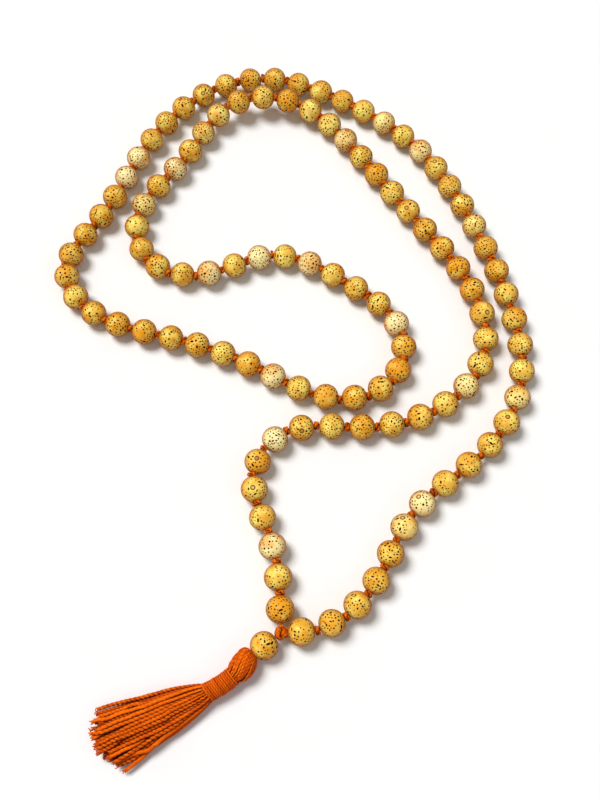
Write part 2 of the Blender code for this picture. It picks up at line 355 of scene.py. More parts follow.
def twisted_tube(path, radius, plies, turn_length, sides, groove=0.3, phase=0.0, outward=None, strength=1.0):
    """Tube whose section is a few plies twisted together, as points, faces and a painted shading value.

    The painted shading value is near 1 on the crests and falls in the grooves between plies, as painted shade
    there.
    Where outward directions are given, it also falls on the flanks that press against neighbouring strands,
    painting shade on them.
    """
    path = np.asarray(path, dtype=float)
    radius = np.broadcast_to(radius, (len(path),))
    _, sideways, over = path_frames(path)
    around = np.linspace(0.0, 2 * math.pi, sides, endpoint=False)
    turn = phase + 2 * math.pi * path_lengths(path) / turn_length
    lobes = np.abs(np.cos((around[None, :] - turn[:, None]) * plies / 2.0)) ** 0.7
    size = radius[:, None] * (1.0 - groove + groove * lobes)
    ring = (sideways[:, None, :] * np.cos(around)[None, :, None]
            + over[:, None, :] * np.sin(around)[None, :, None])
    points = (path[:, None, :] + ring * size[:, :, None]).reshape(-1, 3)
    # Painted shade: the value falls in the grooves between plies.
    painted_shading = 1.0 - strength * (1.0 - lobes)
    if outward is not None:
        # Painted shade on the flanks that face neighbouring strands.
        facing = (ring * np.broadcast_to(outward, path.shape)[:, None, :]).sum(axis=2)
        painted_shading = painted_shading * (0.06 + 0.94 * smooth_step(0.05, 0.85, facing))
    return points, tube_faces(len(path), sides), painted_shading.reshape(-1)


class Bundle:
    """Several tubes gathered into one mesh."""

    def __init__(self):
        self.points = []
        self.faces = []
        self.plies = []
        self.shades = []
        self.count = 0

    def add(self, tube, shade=0.5):
        """Takes one tube with its shade."""
        points, faces, plies = tube
        self.points.append(points)
        self.faces += [tuple(index + self.count for index in face) for face in faces]
        self.plies.append(plies)
        self.shades.append(np.broadcast_to(shade, (len(points),)))
        self.count += len(points)

    def item(self, name, material):
        """The finished object."""
        # The ply value carries painted shade for grooves and covered flanks.
        attributes = {"ply": np.concatenate(self.plies), "shade": np.concatenate(self.shades)}
        return mesh_from(name, np.vstack(self.points), self.faces, material, attributes)


# ---------------------------------------------------------------- materials

class Nodes:
    """Short ways to add shader nodes."""

    def __init__(self, name):
        self.material = bpy.data.materials.new(name)
        self.material.use_nodes = True
        self.tree = self.material.node_tree
        self.shader = self.tree.nodes["Principled BSDF"]

    def add(self, kind, **settings):
        """One node with its properties set."""
        node = self.tree.nodes.new(kind)
        for key, value in settings.items():
            setattr(node, key, value)
        return node

    def link(self, out, into):
        """Joins an output to an input."""
        self.tree.links.new(out, into)

    def put(self, target, value):
        """Sets an input to a number or colour, or links it."""
        if isinstance(value, bpy.types.NodeSocket):
            self.link(value, target)
        else:
            target.default_value = value

    def attribute(self, name):
        """A number stored on the mesh."""
        return self.add("ShaderNodeAttribute", attribute_name=name).outputs["Fac"]

    def math(self, operation, first, second=0.0):
        """Arithmetic on two values."""
        node = self.add("ShaderNodeMath", operation=operation)
        self.put(node.inputs[0], first)
        self.put(node.inputs[1], second)
        return node.outputs[0]

    def noise(self, scale, detail=3.0, shift=None):
        """Noise in the object's own space, different for each shift."""
        place = self.add("ShaderNodeTexCoord").outputs["Object"]
        node = self.add("ShaderNodeTexNoise", noise_dimensions="4D")
        self.link(place, node.inputs["Vector"])
        node.inputs["Scale"].default_value = scale
        node.inputs["Detail"].default_value = detail
        if shift is not None:
            self.link(shift, node.inputs["W"])
        return node.outputs["Fac"]

    def spread(self, value, low, high, to_low=0.0, to_high=1.0):
        """Maps one range of numbers to another, clamped."""
        node = self.add("ShaderNodeMapRange", interpolation_type="SMOOTHSTEP")
        self.put(node.inputs["Value"], value)
        for key, number in (("From Min", low), ("From Max", high), ("To Min", to_low), ("To Max", to_high)):
            self.put(node.inputs[key], number)
        return node.outputs["Result"]

    def mix(self, share, first, second):
        """Mixes two colours."""
        node = self.add("ShaderNodeMix", data_type="RGBA")
        self.put(node.inputs["Factor"], share)
        for key, value in (("A", first), ("B", second)):
            sockets = [s for s in node.inputs if s.name == key and s.type == "RGBA"]
            self.put(sockets[0], value)
        return [s for s in node.outputs if s.type == "RGBA"][0]

    def bump(self, height, strength, distance):
        """Small relief for the shader."""
        node = self.add("ShaderNodeBump")
        self.link(height, node.inputs["Height"])
        node.inputs["Strength"].default_value = strength
        node.inputs["Distance"].default_value = distance
        self.link(node.outputs["Normal"], self.shader.inputs["Normal"])


def rgb(red, green, blue):
    """Colour with full alpha."""
    return (red, green, blue, 1.0)


def seed_material(name):
    """Waxed seed: straw to ochre, mottled, with painted shade darkening it towards its outline as seen, and
    near-black pits.
    """
    n = Nodes(name)
    tint = n.attribute("tint")
    shift = n.math("MULTIPLY", tint, 61.0)
    mottle = n.spread(n.noise(360.0, 5.0, shift), 0.42, 0.6)
    grain = n.spread(n.noise(1400.0, 4.0, shift), 0.35, 0.65)
    lightness = n.math("ADD", n.math("MULTIPLY", mottle, 0.5), n.math("MULTIPLY", tint, 0.5))
    colour = n.mix(lightness, rgb(0.72, 0.29, 0.008), rgb(1.0, 0.88, 0.2))
    colour = n.mix(n.math("MULTIPLY", grain, 0.4), colour, rgb(0.78, 0.4, 0.035))
    cream = n.math("MULTIPLY", n.spread(tint, 0.8, 0.95), 0.65)
    colour = n.mix(cream, colour, rgb(1.0, 0.86, 0.48))
    warm = n.spread(n.noise(150.0, 3.0, shift), 0.5, 0.64)
    colour = n.mix(n.math("MULTIPLY", warm, 0.65), colour, rgb(0.8, 0.3, 0.006))
    # Painted shade: the colour turns dark brown towards the seed's outline as seen from the camera.
    facing = n.add("ShaderNodeLayerWeight")
    facing.inputs["Blend"].default_value = 0.45
    painted_edge_shade = n.spread(facing.outputs["Facing"], 0.12, 0.8)
    colour = n.mix(n.math("MULTIPLY", painted_edge_shade, 0.88), colour, rgb(0.36, 0.075, 0.001))
    eye = n.attribute("eye")
    ring = n.math("SUBTRACT", n.spread(eye, 0.2, 0.42), n.spread(eye, 0.72, 0.95))
    filled = n.spread(n.math("FRACT", n.math("MULTIPLY", tint, 7.0)), 0.4, 0.9, 0.35, 0.9)
    colour = n.mix(n.math("MULTIPLY", n.spread(eye, 0.6, 0.9), filled), colour, rgb(0.42, 0.17, 0.03))
    colour = n.mix(n.math("MULTIPLY", ring, 0.95), colour, rgb(0.1, 0.03, 0.006))
    pit = n.attribute("pit")
    halo = n.math("MULTIPLY", n.spread(pit, 0.0, 0.15), 0.75)
    colour = n.mix(halo, colour, rgb(0.25, 0.08, 0.01))
    colour = n.mix(n.spread(pit, 0.04, 0.32), colour, rgb(0.01, 0.005, 0.002))
    n.link(colour, n.shader.inputs["Base Color"])
    gloss = n.spread(grain, 0.0, 1.0, 0.3, 0.42)
    n.link(n.math("ADD", gloss, n.math("MULTIPLY", pit, 0.4)), n.shader.inputs["Roughness"])
    n.shader.inputs["Specular IOR Level"].default_value = 0.12
    return n.material


def fibre_material(name, dark, middle, light):
    """Twisted fibre: painted shade where the ply value is low, in the grooves between plies and on covered flanks,
    with fine hair-like streaks.
    """
    n = Nodes(name)
    shade = n.attribute("shade")
    shift = n.math("MULTIPLY", shade, 47.0)
    ply = n.attribute("ply")
    streak = n.spread(n.noise(2200.0, 4.0, shift), 0.36, 0.64)
    patch = n.spread(n.noise(300.0, 2.0, shift), 0.38, 0.62)
    # The shade value is each strand's own lightness; on the skirt it also holds painted shade from yarns covering
    # it.
    lightness = n.math("ADD", n.math("MULTIPLY", streak, 0.4), n.math("MULTIPLY", shade, 0.4))
    lightness = n.math("ADD", lightness, n.math("MULTIPLY", patch, 0.2))
    colour = n.mix(lightness, middle, light)
    # Painted shade: the dark colour is mixed in where the ply value is low.
    colour = n.mix(n.spread(ply, 0.05, 0.95, 1.0, 0.0), colour, dark)
    n.link(colour, n.shader.inputs["Base Color"])
    n.shader.inputs["Roughness"].default_value = 0.75
    n.shader.inputs["Specular IOR Level"].default_value = 0.08
    n.bump(n.noise(5200.0, 3.0, shift), 0.35, 0.00008)
    return n.material


SEED = seed_material("seed")
# The first colour of each fibre is its painted shade, for grooves and covered flanks.
CORD_FIBRE = fibre_material("cord", rgb(0.035, 0.002, 0.0), rgb(0.36, 0.035, 0.0), rgb(0.95, 0.2, 0.002))
YARN_FIBRE = fibre_material("yarn", rgb(0.035, 0.001, 0.0), rgb(0.37, 0.012, 0.0), rgb(1.0, 0.19, 0.0))


# ---------------------------------------------------------------- seed beads

def bead_template():
    """Unit ball of even triangles with a drilled hole along Z: points and faces."""
    mesh = bmesh.new()
    bmesh.ops.create_icosphere(mesh, subdivisions=ICOSPHERE_STEPS, radius=1.0)
    hole = HOLE_RADIUS / BEAD_RADIUS
    inside = [v for v in mesh.verts if math.hypot(v.co.x, v.co.y) < hole * 0.9]
    bmesh.ops.delete(mesh, geom=inside, context="VERTS")
    edges = [edge for edge in mesh.edges if edge.is_boundary]
    for vertex in {v for edge in edges for v in edge.verts}:
        scale = hole / math.hypot(vertex.co.x, vertex.co.y)
        vertex.co.x *= scale
        vertex.co.y *= scale
        vertex.co.z = math.copysign(math.sqrt(1.0 - hole * hole), vertex.co.z)
    bmesh.ops.bridge_loops(mesh, edges=edges)
    bmesh.ops.recalc_face_normals(mesh, faces=mesh.faces)
    mesh.verts.ensure_lookup_table()
    points = np.array([tuple(v.co) for v in mesh.verts])
    faces = [tuple(v.index for v in face.verts) for face in mesh.faces]
    mesh.free()
    return points, faces


TEMPLATE_POINTS, TEMPLATE_FACES = bead_template()
HOLE_EDGE = np.hypot(TEMPLATE_POINTS[:, 0], TEMPLATE_POINTS[:, 1]) < HOLE_RADIUS / BEAD_RADIUS * 1.05


def scattered_pits(random, count, eye):
    """Direction, size, stretch, slant and depth of each pit: crowded in places, sparse in others."""
    tries = random.normal(size=(count * 8, 3))
    tries /= np.linalg.norm(tries, axis=1)[:, None]
    sizes = random.choice(PIT_RADII, size=len(tries), p=PIT_SHARES)
    bare = np.maximum(tries @ unit(random.normal(size=3)), tries @ unit(random.normal(size=3)))
    wanted = (np.abs(tries[:, 2]) < 0.955) & (tries @ eye < 0.95)
    wanted &= random.random(len(tries)) > 0.8 * smooth_step(0.6, 0.95, bare)
    tries, sizes = tries[wanted], sizes[wanted]
    kept = []
    for k, direction in enumerate(tries):
        distance = np.linalg.norm(tries[kept] - direction, axis=1) * BEAD_RADIUS
        if np.all(distance > PIT_SPACING * (sizes[kept] + sizes[k])):
            kept.append(k)
        if len(kept) == count:
            break
    pits = []
    for k in kept:
        stretch = 1.0 + 1.2 * random.random() ** 3
        dark = 1.0 if random.random() < 0.75 else random.uniform(0.3, 0.8)
        pits.append((tries[k], sizes[k], stretch, random.random() * math.pi, dark))
    return pits


def press_pit(normals, pit, mask, sink):
    """Draws nearby points onto a pit's outline, so it stays crisp, and deepens the ones inside."""
    direction, size, stretch, slant, dark = pit
    near = np.nonzero(normals @ direction > math.cos(size * stretch * 1.9 / BEAD_RADIUS))[0]
    near = near[~HOLE_EDGE[near]]
    if len(near) == 0:
        return
    first = unit(np.cross(direction, UP + 0.01))
    second = np.cross(direction, first)
    along = first * math.cos(slant) + second * math.sin(slant)
    across = second * math.cos(slant) - first * math.sin(slant)
    flat = (normals[near] - direction) * BEAD_RADIUS
    x = flat @ along / (size * stretch)
    y = flat @ across / size
    reach = np.hypot(x, y)
    middle = np.argmin(reach)
    pulled = (reach > 0.6) & (reach < 1.35)
    factor = np.where(pulled, 1.0 / np.maximum(reach, 1e-6), 1.0)
    factor[middle] = 0.0
    shift = along * (x * (factor - 1.0) * size * stretch)[:, None]
    shift += across * (y * (factor - 1.0) * size)[:, None]
    normals[near] += shift / BEAD_RADIUS
    normals[near] /= np.linalg.norm(normals[near], axis=1)[:, None]
    inside = reach <= 0.6
    inside[middle] = True
    mask[near[inside]] = dark
    sink[near[inside]] = np.maximum(sink[near[inside]], size * PIT_DEPTH)


def press_eye(normals, direction, eye, sink):
    """The seed's round eye: a shallow dish inside a fine groove."""
    reach = np.linalg.norm(normals - direction, axis=1) * BEAD_RADIUS / EYE_RADIUS
    eye[:] = np.clip(1.5 - reach, 0.0, 1.0)
    groove = np.exp(-((reach - 1.0) / 0.2) ** 2)
    sink += EYE_GROOVE_DEPTH * groove + EYE_DISH_DEPTH * (1.0 - smooth_step(0.6, 1.0, reach))


def bead_mesh(number):
    """Points in millimetres, pit values and eye values of one bead, hole along Z, top along Y."""
    random = np.random.default_rng(BEAD_SHAPES + number)
    normals = TEMPLATE_POINTS.copy()
    mask = np.zeros(len(normals))
    eye = np.zeros(len(normals))
    sink = np.zeros(len(normals))
    if number in EYES_UP:
        lean, tilt = EYES_UP[number]
        eye_place = unit(np.array((tilt, 1.0, lean)))
    else:
        angle = random.uniform(0.15, 0.85) * math.pi
        eye_place = unit(np.array((math.cos(angle), -math.sin(angle), random.uniform(-0.5, 0.5))))
    count = int(random.uniform(*PIT_COUNTS))
    for pit in scattered_pits(random, count, eye_place):
        press_pit(normals, pit, mask, sink)
    press_eye(normals, eye_place, eye, sink)
    wobble = np.zeros(len(normals))
    for _ in range(4):
        wave = random.normal(size=3) * 1.4
        wobble += np.sin(normals @ wave + random.uniform(0, 6.28))
    size = BEAD_RADIUS * random.uniform(*BEAD_SIZES)
    radius = size * (1.0 + 0.005 * wobble) - sink
    points = normals * radius[:, None]
    off_axis = np.hypot(points[:, 0], points[:, 1])
    points[:, 2] *= LENGTH_SHARE - MOUTH_DIP * np.exp(-((off_axis / MOUTH_DIP_RADIUS) ** 2))
    return points, mask, eye


def place_on_strand(item, centre, axis):
    """Turns local Z along the strand and local Y upwards, at this centre."""
    side, top = strand_frame(axis)
    matrix = Matrix.Identity(4)
    for row in range(3):
        matrix[row][0] = -side[row]
        matrix[row][1] = top[row]
        matrix[row][2] = axis[row]
        matrix[row][3] = centre[row] * METRES_PER_MM
    item.matrix_world = matrix


def build_bead(name, number, centre, axis, body, slot, node):
    """One seed bead in place."""
    points, mask, eye = bead_mesh(number)
    random = np.random.default_rng(BEAD_TINTS + number)
    tint = float(random.uniform(0.0, 1.0))
    attributes = {"pit": mask, "eye": eye, "tint": np.full(len(points), tint)}
    item = mesh_from(name, points, TEMPLATE_FACES, SEED, attributes)
    place_on_strand(item, centre, axis)
    carried(item, body, slot, node)


def build_beads():
    """All strand beads and the guru bead."""
    for bead in range(1, LAST_BEAD + 1):
        _, _, body, node = RUN_OF_BEAD[bead]
        centre = (KNOTS[bead - 1] + KNOTS[bead]) / 2.0
        axis = unit(KNOTS[bead] - KNOTS[bead - 1])
        build_bead(f"bead_{bead:03d}", bead, centre, axis, body, "seed", node)
    build_bead("guru_seed_bead", 0, GURU_CENTRE, GURU_AXIS, "guru_bead", "guru_seed", "guru_bead")


# ---------------------------------------------------------------- cord and knots

def knot_loop(centre, axis, size, thickness, turn, cord=KNOT_CORD_RADIUS):
    """Centre line of a tight overhand knot: a flattened trefoil of cord round the axis."""
    side, top = strand_frame(axis)
    t = np.linspace(0.0, 2 * math.pi, 84)
    reach = (size - cord) / 3.0
    x = (np.sin(t) + 2.0 * np.sin(2 * t)) * reach
    y = (np.cos(t) - 2.0 * np.cos(2 * t)) * reach
    z = -np.sin(3 * t) * thickness
    across = side * math.cos(turn) + top * math.sin(turn)
    upward = top * math.cos(turn) - side * math.sin(turn)
    return centre + x[:, None] * across + y[:, None] * upward + z[:, None] * axis


def squeezed(points, centre, axis, spacing):
    """Points of a knot pressed flat between its two beads, this far apart."""
    along = (points - centre) @ axis
    off_axis = np.linalg.norm(points - centre - along[:, None] * axis, axis=1)
    room = spacing / 2.0 - 0.96 * np.sqrt(np.maximum(BEAD_RADIUS ** 2 - off_axis ** 2, 0.0)) + 0.04
    pressed = along / (1.0 + (np.abs(along) / room) ** 4) ** 0.25
    return points + (pressed - along)[:, None] * axis


def pressed_knot(random, number, hinge):
    """The knot after this bead, pressed between its two neighbours, with its shade."""
    centre = KNOTS[number]
    before = unit(centre - KNOTS[number - 1])
    after = unit(KNOTS[number + 1] - centre)
    axis = unit(before + after)
    size = HINGE_KNOT_RADIUS if hinge else KNOT_RADIUS * random.uniform(0.93, 1.08)
    loop = knot_loop(centre, axis, size, KNOT_HALF_THICKNESS, random.uniform(0, 6.28))
    # Outward directions, so flanks pressed against other turns of cord get painted shade.
    away = loop - centre
    away /= np.linalg.norm(away, axis=1)[:, None]
    points, faces, plies = twisted_tube(
        loop, KNOT_CORD_RADIUS, plies=3, turn_length=KNOT_CORD_TWIST, sides=14, groove=0.16,
        outward=away, strength=0.6,
    )
    # Painted shade: the ply value is lowered towards the faces of the two beads that press the knot.
    plies = plies * (1.0 - 0.6 * smooth_step(0.35, 0.9, np.abs((points - centre) @ axis)))
    spacing = np.linalg.norm(KNOTS[number + 1] - KNOTS[number - 1]) / 2.0
    points = squeezed(points, centre, axis, spacing)
    return (points, faces, plies), random.uniform(0.2, 0.8)


def holds_knot(node, number):
    """True where this CAD cord ends in the hinge knot after this bead, and not in a plain ring."""
    near = np.linalg.norm(node_points(node) - KNOTS[number], axis=1) < 0.9
    return 0 < number < LAST_BEAD and near.sum() > PLAIN_END_CORNERS


def build_cords():
    """Cord through each stretch, with a knot between neighbouring beads."""
    for first, last, body, node in CORDS:
        random = np.random.default_rng(CORD_DRAWS + first)
        bundle = Bundle()
        places = [KNOTS[number] for number in range(first - 1, last + 1)]
        if first == 1:
            places[0] = GURU_KNOT
        if last == LAST_BEAD:
            places[-1] = GURU_KNOT
        path = rounded_path(places, 0.5)
        cord = twisted_tube(path, CORD_RADIUS, plies=3, turn_length=CORD_TWIST, sides=12, groove=0.22)
        bundle.add(cord, 0.4)
        ends = [number for number in (first - 1, last) if holds_knot(node, number)]
        for number in sorted(ends + list(range(first, last))):
            knot, shade = pressed_knot(random, number, number in ends)
            bundle.add(knot, shade)
        item = bundle.item(f"cord_and_knots_{first:03d}_{last:03d}", CORD_FIBRE)
        carried(item, body, "cord", node)


def build_guru_knot():
    """Bulky knot joining both cord ends."""
    bundle = Bundle()
    # Turn, direction from the knot's middle, distance that way and radius of each loop.
    lobes = (
        (0.3, unit(KNOTS[1] - GURU_KNOT), 1.0, 1.55),
        (1.5, unit(KNOTS[-2] - GURU_KNOT), 0.95, 1.55),
        (2.6, GURU_AXIS, 0.35, 1.75),
        (0.9, UP, 0.3, 1.8),
    )
    for turn, towards, offset, size in lobes:
        centre = GURU_KNOT + towards * offset
        axis = unit(towards + 0.4 * GURU_AXIS)
        loop = knot_loop(centre, axis, size, 0.45, turn, GURU_KNOT_CORD_RADIUS)
        # Outward directions, so flanks pressed against other loops get painted shade.
        away = loop - centre
        away /= np.linalg.norm(away, axis=1)[:, None]
        tube = twisted_tube(
            loop, GURU_KNOT_CORD_RADIUS, plies=3, turn_length=3.2, sides=16, groove=0.16,
            outward=away, strength=0.6,
        )
        bundle.add(tube, 0.3 + 0.15 * turn)
    item = bundle.item("guru_joint_knot", CORD_FIBRE)
    carried(item, "guru_knot", "joint_knot", "guru_knot")


def build_guru_cord():
    """The doubled cord through the guru bead."""
    bundle = Bundle()
    side, _ = strand_frame(GURU_AXIS)
    for offset in (-GURU_CORD_OFFSET, GURU_CORD_OFFSET):
        path = even_path(np.array((GURU_KNOT, TASSEL_KNOT)) + side * offset, 0.4)
        bundle.add(twisted_tube(path, GURU_CORD_RADIUS, plies=3, turn_length=2.2, sides=10, groove=0.22), 0.4)
    item = bundle.item("guru_bead_cord", CORD_FIBRE)
    carried(item, "guru_cord", "cord", "guru_cord")


# ---------------------------------------------------------------- tassel

TASSEL_SIDE, TASSEL_TOP = strand_frame(TASSEL_AXIS)


def tassel_line(distance):
    """Point on the tassel's gently bowed middle line, for one distance or many."""
    distance = np.asarray(distance, dtype=float)
    bow = -HEAD_BOW * np.sin(math.pi * np.clip(distance / TASSEL_MOUTH, 0.0, 1.0))
    return TASSEL_KNOT + distance[..., None] * TASSEL_AXIS + bow[..., None] * TASSEL_SIDE


def round_about(angle):
    """Direction square to the tassel's axis at this angle, for one angle or many."""
    angle = np.asarray(angle, dtype=float)
    return np.cos(angle)[..., None] * TASSEL_SIDE + np.sin(angle)[..., None] * TASSEL_TOP


def build_tassel_core():
    """Packed yarn inside head and collar, coloured mostly dark as painted shade, which closes the gaps between the
    outer yarns.
    """
    profile = [(distance + 0.2, radius - 0.15) for distance, radius in HEAD_PROFILE[3:]]
    profile.append((TASSEL_MOUTH - 0.3, COLLAR_RADII[1]))
    around = np.linspace(0.0, 2 * math.pi, 40, endpoint=False)
    rings = [tassel_line(distance) + round_about(around) * radius for distance, radius in profile]
    points = np.vstack(rings)
    faces = tube_faces(len(rings), len(around))
    # Painted shade: a low ply value and low shade make the core nearly the fibre's dark colour.
    attributes = {"ply": np.full(len(points), 0.15), "shade": np.full(len(points), 0.3)}
    item = mesh_from("tassel_core", points, faces, YARN_FIBRE, attributes)
    carried(item, "tassel", "head_yarn", "tassel_head")


def build_tassel_head():
    """Folded yarns running lengthwise over a bulb, swirling a little, drawn in at the neck."""
    random = np.random.default_rng(HEAD_DRAWS)
    bundle = Bundle()
    last = HEAD_PROFILE[-1][0]
    for k in range(HEAD_YARNS):
        start = 2 * math.pi * (k + random.uniform(-0.2, 0.2)) / HEAD_YARNS
        swirl = HEAD_SWIRL + random.uniform(-0.2, 0.2)
        points = []
        for distance, radius in HEAD_PROFILE:
            angle = start + swirl * smooth_step(0.0, last, distance)
            bulge = random.uniform(-0.1, 0.16) if distance > 0.5 else 0.0
            points.append(tassel_line(distance) + round_about(angle) * (radius + bulge))
        path = rounded_path(points, 0.15)
        travelled = path_lengths(path)
        radius = 0.18 + 0.18 * smooth_step(0.8, 3.8, travelled) - 0.08 * smooth_step(7.5, 11.0, travelled)
        # Outward directions, so the flanks pressed against neighbouring yarns get painted shade.
        away = path - tassel_line(3.0)
        away /= np.linalg.norm(away, axis=1)[:, None]
        phase = random.uniform(0, 6.28)
        tube = twisted_tube(
            path, radius, plies=2, turn_length=HEAD_YARN_TWIST, sides=YARN_SIDES, groove=0.14,
            phase=phase, outward=away, strength=0.65,
        )
        bundle.add(tube, random.uniform(0.1, 1.0))
    item = bundle.item("tassel_head_yarns", YARN_FIBRE)
    carried(item, "tassel", "head_yarn", "tassel_head")


def build_hanging_knot():
    """Small knot of the doubled cord, from which the tassel hangs."""
    bundle = Bundle()
    loop = knot_loop(
        TASSEL_KNOT, GURU_AXIS, HANGING_KNOT_RADIUS, thickness=0.2, turn=0.4, cord=HANGING_CORD_RADIUS,
    )
    tube = twisted_tube(loop, HANGING_CORD_RADIUS, plies=3, turn_length=2.0, sides=12, groove=0.2)
    bundle.add(tube, 0.4)
    item = bundle.item("tassel_hanging_knot", CORD_FIBRE)
    carried(item, "tassel_knot", "joint_knot", "tassel_knot")


def build_collar():
    """Collar of yarn wound round the neck in slightly slanting turns."""
    random = np.random.default_rng(COLLAR_DRAWS)
    turn = np.linspace(0.0, COLLAR_TURNS, COLLAR_TURNS * 44 + 1)
    share = turn / COLLAR_TURNS
    marks = np.arange(COLLAR_TURNS + 2)
    wander = np.interp(turn, marks, random.uniform(-0.07, 0.07, len(marks)))
    angle = 2 * math.pi * turn
    slant = COLLAR_SLANT * np.sin(angle)
    distance = COLLAR_START + (TASSEL_MOUTH - 0.1 - COLLAR_START) * share + wander + slant
    radius = COLLAR_RADII[0] + (COLLAR_RADII[1] - COLLAR_RADII[0]) * share
    radius = radius + np.interp(turn, marks, random.uniform(-0.05, 0.07, len(marks)))
    path = tassel_line(distance) + round_about(angle) * radius[:, None]
    bundle = Bundle()
    path = even_path(path, 0.16)
    # Outward directions, so the flanks where turns press together get painted shade.
    away = path - tassel_line((path - TASSEL_KNOT) @ TASSEL_AXIS)
    away /= np.linalg.norm(away, axis=1)[:, None]
    shade = 0.5 + 0.3 * np.sin(np.arange(len(path)) * 0.05) + random.uniform(-0.2, 0.2, len(path))
    tube = twisted_tube(
        path, COLLAR_YARN_RADIUS, plies=2, turn_length=COLLAR_YARN_TWIST, sides=YARN_SIDES,
        groove=0.12, outward=away, strength=0.55,
    )
    bundle.add(tube, np.repeat(shade, YARN_SIDES))
    item = bundle.item("tassel_wrap_yarn", YARN_FIBRE)
    carried(item, "tassel", "wrap_yarn", "tassel_wrap")


def packed_disc(count):
    """Evenly spread places in a disc of radius one, sunflower fashion."""
    k = np.arange(count) + 0.5
    radius = np.sqrt(k / count)
    angle = k * math.pi * (3.0 - math.sqrt(5.0))
    return np.stack((radius * np.cos(angle), radius * np.sin(angle)), axis=1)


def settled(places, targets, radius, low):
    """Yarn places in one cross section, pushed apart until none overlap, near their targets."""
    for _ in range(90):
        places = places + 0.06 * (targets - places)
        apart = places[:, None, :] - places[None, :, :]
        distance = np.linalg.norm(apart, axis=2) + np.eye(len(places)) * 9.0
        overlap = np.maximum(2.0 * radius - distance, 0.0)
        places = places + (apart / distance[:, :, None] * overlap[:, :, None]).sum(axis=1) * 0.35
        places[:, 1] = np.maximum(places[:, 1], low)
    return places


def exposure(places, radius):
    """How open each yarn of a cross section lies to light from above: 1 on top, less under others."""
    above = places[None, :, 1] - places[:, None, 1] > 0.4 * radius
    beside = np.abs(places[None, :, 0] - places[:, None, 0]) / (1.9 * radius)
    cover = (np.maximum(1.0 - beside, 0.0) * above).sum(axis=1)
    return 1.0 / (1.0 + 1.6 * cover)


def side_exposures(places, radius):
    """Exposure of each yarn to above, below, its positive side and its negative side."""
    turned = places[:, ::-1]
    views = (places, places * (1.0, -1.0), turned, turned * (1.0, -1.0))
    return np.array([exposure(view, radius) for view in views])


def skirt_sections(random, heading, length, half_width):
    """Centre, yarn places, yarn radius and exposures of each cross section, from mouth to end."""
    disc = packed_disc(SKIRT_YARNS)
    drift = random.normal(size=(SKIRT_YARNS, 2)) * (0.8, 0.3)
    sway = random.normal(size=(SKIRT_YARNS, 2, 2)) * (0.65, 0.28)
    phase = random.uniform(0.0, 2 * math.pi, (SKIRT_YARNS, 2))
    upper = disc[:, 0] > 0.8
    stray = int(np.argmin(disc[:, 0]))
    mouth = COLLAR_RADII[1] - MOUTH_YARN_RADIUS
    sections = []
    for share in np.linspace(-0.08, 1.12, SKIRT_SECTIONS):
        s = max(share, 0.0)
        if share < 0.0:
            centre = tassel_line(TASSEL_MOUTH + share * length)
        else:
            centre = MOUTH + heading * length * s
        swell = s ** 0.55
        radius = MOUTH_YARN_RADIUS + (YARN_RADIUS - MOUTH_YARN_RADIUS) * smooth_step(0.0, 0.4, s)
        width = mouth * (1 - swell) + (half_width - radius) * swell
        height = mouth * (1 - swell) + (SKIRT_HALF_HEIGHT - radius) * swell
        middle = MOUTH[2] * (1 - swell) + (SKIRT_HALF_HEIGHT + 0.2) * swell
        targets = disc * (width, height)
        targets += drift * s
        for wave, turns in enumerate((3.5, 8.0)):
            targets += sway[:, wave] * np.sin(turns * s + phase[:, wave:wave + 1]) * s ** 0.7 / (1 + wave)
        targets[:, 0] += np.where(upper, UPPER_GAP * smooth_step(0.3, 0.9, s), 0.0)
        targets[stray, 0] -= STRAY_REACH * smooth_step(0.45, 1.0, s)
        targets[:, 1] += middle
        if share > 0.0:
            places = settled(places, targets, radius, radius + FLOOR_HEIGHT + 0.05)
        else:
            places = settled(targets, targets, radius, 0.3)
        sections.append((centre, places, radius, side_exposures(places, radius)))
    return sections


def split_plies(random, path, radius, turn_length, phase):
    """Loose plies at a cut yarn's end, opening a little, each cut at its own length."""
    start = path_lengths(path)[-1] - 0.5
    step = unit(path[-1] - path[-5])
    _, sides, overs = path_frames(path)
    side, over = sides[-1], overs[-1]
    tails = []
    for ply in range(4):
        travelled = start + np.linspace(0.0, 0.9 + random.uniform(0.1, 0.9), 9)
        angle = phase + 2 * math.pi * travelled / turn_length + math.pi * ply / 2.0
        opening = radius * (0.42 + 0.5 * smooth_step(0.3, 1.6, travelled - start))
        middle = path[-1] + step * (travelled - start - 0.5)[:, None]
        offset = side * np.cos(angle)[:, None] + over * np.sin(angle)[:, None]
        line = middle + offset * opening[:, None]
        line[:, 2] = np.maximum(line[:, 2], FLOOR_HEIGHT + 0.35)
        thickness = radius * np.linspace(0.5, 0.26, len(line))
        tail = twisted_tube(
            line, thickness, plies=2, turn_length=1.1, sides=8, groove=0.2, phase=float(ply), strength=0.7,
        )
        tails.append(tail)
    return tails


